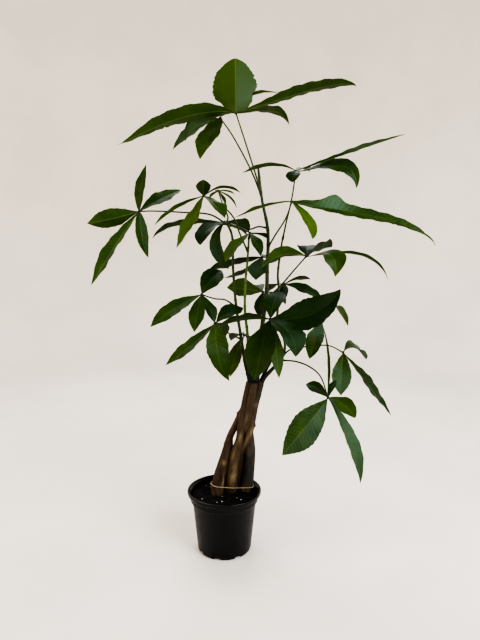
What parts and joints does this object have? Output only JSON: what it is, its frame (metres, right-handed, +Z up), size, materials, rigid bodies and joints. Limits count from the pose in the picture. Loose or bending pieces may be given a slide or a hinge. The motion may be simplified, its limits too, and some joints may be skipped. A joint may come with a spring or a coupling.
{
  "type": "potted money tree",
  "caption": "Lanky house plant with braided trunk stems, tall green shoots and fans of long drooping leaflets, in a round black nursery pot filled with soil.",
  "frame": {"origin": "centre of the pot's underside, on the flat pad in the plane that the pot stands on", "axes": "+Z up along the plant, +X to the right of the pictured side, +Y away from the viewer"},
  "size_m": [0.6463, 0.3169, 0.9359],
  "materials": {
    "pot_plastic": "satin",
    "soil": "matte",
    "bark": "matte",
    "grey_bark": "matte",
    "string": "matte",
    "tape": "satin",
    "green_stem": "satin",
    "leaf": "satin"
  },
  "bodies": {
    "root": {"pot": "pot_plastic", "soil": "soil", "stem_centre_left": "bark", "stem_crossing": "bark", "stem_right": "grey_bark", "stem_left": "bark", "stem_back": "bark", "base_string": "string", "top_tape": "tape", "shoot_left": "green_stem", "shoot_light": "green_stem", "shoot_tall": "green_stem", "shoot_slim": "green_stem", "shoot_right": "green_stem", "leaf_crown": "leaf", "leaf_second": "leaf", "leaf_upper_right": "leaf", "leaf_long": "leaf", "leaf_eye_level": "leaf", "leaf_small_back": "leaf", "leaf_front": "leaf", "leaf_low_right": "leaf", "leaf_far_right": "leaf", "leaf_right_middle": "leaf", "leaf_far_left": "leaf", "leaf_round": "leaf", "leaf_young": "leaf", "leaf_left_inner": "leaf", "leaf_light_top": "leaf", "leaf_centre_back": "leaf", "leaf_backlit": "leaf", "leaf_left_lower": "leaf", "leaf_left_lowest": "leaf", "leaf_light_low": "leaf"}
  },
  "joints": []
}
